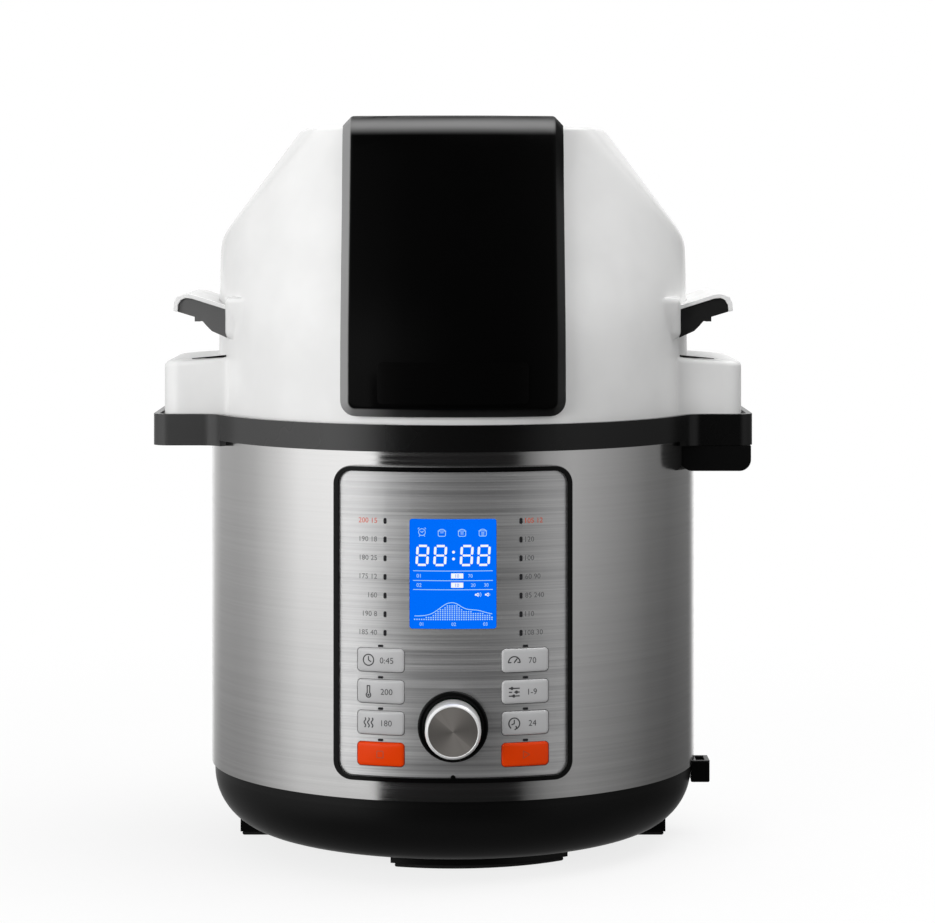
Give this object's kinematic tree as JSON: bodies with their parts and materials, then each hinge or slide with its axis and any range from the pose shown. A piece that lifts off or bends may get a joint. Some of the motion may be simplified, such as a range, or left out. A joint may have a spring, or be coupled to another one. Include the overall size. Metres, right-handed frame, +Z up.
{
  "type": "electric pressure cooker",
  "caption": "Round electric pressure cooker with steel body, curved control panel, knob and buttons, and a tall white air-fry lid with a black fascia.",
  "frame": {"origin": "on the floor at the cooker's axis, between the feet", "axes": "+Z up, -Y towards the control panel, +X towards the right ear with the lid's connector"},
  "size_m": [0.364, 0.3465, 0.4445],
  "materials": {
    "black_plastic": "satin black moulding",
    "ring_plastic": "semi-gloss black moulding",
    "rubber": "matt black rubber",
    "seal": "grey silicone",
    "screw_steel": "bright steel",
    "brushed_shell": "brushed stainless steel",
    "brushed_panel": "horizontally brushed steel",
    "aluminium": "plain aluminium",
    "lcd": "backlit blue display",
    "module_plastic": "dark heat-proof plastic",
    "board": "green circuit board",
    "light_pipe": "clear light guide",
    "knob_metal": "turned aluminium with a dark spun face",
    "encoder_metal": "plain metal can",
    "button_grey": "silver grey plastic",
    "button_orange": "orange plastic",
    "fuse_ceramic": "white ceramic",
    "basket_coat": "black non-stick coat",
    "coil": "oxidised heating tube",
    "cup_plastic": "smoky clear plastic",
    "white_plastic": "glossy white plastic",
    "fascia_black": "glossy black plastic",
    "wing_grey": "dark grey plastic"
  },
  "bodies": {
    "base": {"base_tray": "black_plastic", "connector_housing": "black_plastic", "spoon_bracket": "black_plastic", "mains_inlet": "black_plastic", "cup_bracket": "black_plastic", "rim_ring": "ring_plastic", "panel_frame": "ring_plastic", "knob_bezel": "ring_plastic", "foot_pad_front": "rubber", "foot_pad_rear": "rubber", "foot_pad_left": "rubber", "foot_pad_right": "rubber", "tray_screws": "screw_steel", "sensor_spring": "screw_steel", "outer_shell": "brushed_shell", "panel_plate": "brushed_panel", "cooking_chamber": "aluminium", "heating_plate": "aluminium", "display_window": "lcd", "display_module": "module_plastic", "connector_socket": "module_plastic", "control_board": "board", "power_board": "board", "light_guide_left": "light_pipe", "light_guide_right": "light_pipe", "encoder": "encoder_metal", "thermal_fuse": "fuse_ceramic"},
    "lid": {"lid_housing": "white_plastic", "fascia": "fascia_black", "fascia_insert": "fascia_black", "lid_underplate": "module_plastic", "seal_ring": "seal", "heat_shield": "screw_steel", "heating_coil": "coil", "coil_guard": "screw_steel", "motor": "encoder_metal", "motor_bracket": "aluminium", "wing_left": "wing_grey", "wing_right": "wing_grey", "wing_cover_left": "white_plastic", "wing_cover_right": "white_plastic", "coupler_plug": "module_plastic", "rear_grille": "fascia_black", "temp_probe": "screw_steel"},
    "fan": {"hot_fan": "aluminium", "fan_shaft": "screw_steel", "cooling_fan": "module_plastic"},
    "knob_body": {"knob": "knob_metal"},
    "sensor": {"sensor_plunger": "screw_steel"},
    "pot": {"inner_pot": "brushed_shell"},
    "basket_body": {"basket": "basket_coat"},
    "cup": {"condensate_cup": "cup_plastic"},
    "button_left_1_body": {"button_left_1": "button_grey"},
    "button_left_2_body": {"button_left_2": "button_grey"},
    "button_left_3_body": {"button_left_3": "button_grey"},
    "button_left_4_body": {"button_left_4": "button_orange"},
    "button_right_1_body": {"button_right_1": "button_grey"},
    "button_right_2_body": {"button_right_2": "button_grey"},
    "button_right_3_body": {"button_right_3": "button_grey"},
    "button_right_4_body": {"button_right_4": "button_orange"}
  },
  "joints": [
    {"name": "lid_lift", "type": "slide", "parent": "base", "child": "lid", "axis": [0, 0, 1], "range_m": [0, 0.46]},
    {"name": "pot_lift", "type": "slide", "parent": "base", "child": "pot", "axis": [0, 0, 1], "range_m": [0, 0.23]},
    {"name": "basket_lift", "type": "slide", "parent": "base", "child": "basket_body", "axis": [0, 0, 1], "range_m": [0, 0.396]},
    {"name": "fan_spin", "type": "hinge", "parent": "lid", "child": "fan", "pos_m": [0, 0, 0.33], "axis": [0, 0, 1], "continuous": true},
    {"name": "knob_turn", "type": "hinge", "parent": "base", "child": "knob_body", "pos_m": [0, -0.16, 0.0921], "axis": [0, -1, 0], "continuous": true},
    {"name": "sensor_press", "type": "slide", "parent": "base", "child": "sensor", "axis": [0, 0, 1], "range_m": [-0.003, 0], "stiffness_N_per_m": 300, "springref_m": 0.004, "deforming": ["sensor_spring"]},
    {"name": "cup_slide", "type": "slide", "parent": "base", "child": "cup", "axis": [0, 1, 0], "range_m": [0, 0.03]},
    {"name": "button_left_1_press", "type": "slide", "parent": "base", "child": "button_left_1_body", "axis": [0.2723, 0.9622, 0], "range_m": [0, 0.001], "stiffness_N_per_m": 800, "springref_m": -0.001},
    {"name": "button_left_2_press", "type": "slide", "parent": "base", "child": "button_left_2_body", "axis": [0.2723, 0.9622, 0], "range_m": [0, 0.001], "stiffness_N_per_m": 800, "springref_m": -0.001},
    {"name": "button_left_3_press", "type": "slide", "parent": "base", "child": "button_left_3_body", "axis": [0.2723, 0.9622, 0], "range_m": [0, 0.001], "stiffness_N_per_m": 800, "springref_m": -0.001},
    {"name": "button_left_4_press", "type": "slide", "parent": "base", "child": "button_left_4_body", "axis": [0.2723, 0.9622, 0], "range_m": [0, 0.001], "stiffness_N_per_m": 800, "springref_m": -0.001},
    {"name": "button_right_1_press", "type": "slide", "parent": "base", "child": "button_right_1_body", "axis": [-0.2723, 0.9622, 0], "range_m": [0, 0.001], "stiffness_N_per_m": 800, "springref_m": -0.001},
    {"name": "button_right_2_press", "type": "slide", "parent": "base", "child": "button_right_2_body", "axis": [-0.2723, 0.9622, 0], "range_m": [0, 0.001], "stiffness_N_per_m": 800, "springref_m": -0.001},
    {"name": "button_right_3_press", "type": "slide", "parent": "base", "child": "button_right_3_body", "axis": [-0.2723, 0.9622, 0], "range_m": [0, 0.001], "stiffness_N_per_m": 800, "springref_m": -0.001},
    {"name": "button_right_4_press", "type": "slide", "parent": "base", "child": "button_right_4_body", "axis": [-0.2723, 0.9622, 0], "range_m": [0, 0.001], "stiffness_N_per_m": 800, "springref_m": -0.001}
  ],
  "couplings": [
    {"joint": "pot_lift", "follows": "lid_lift", "ratio": 0.5},
    {"joint": "basket_lift", "follows": "lid_lift", "ratio": 0.86}
  ]
}
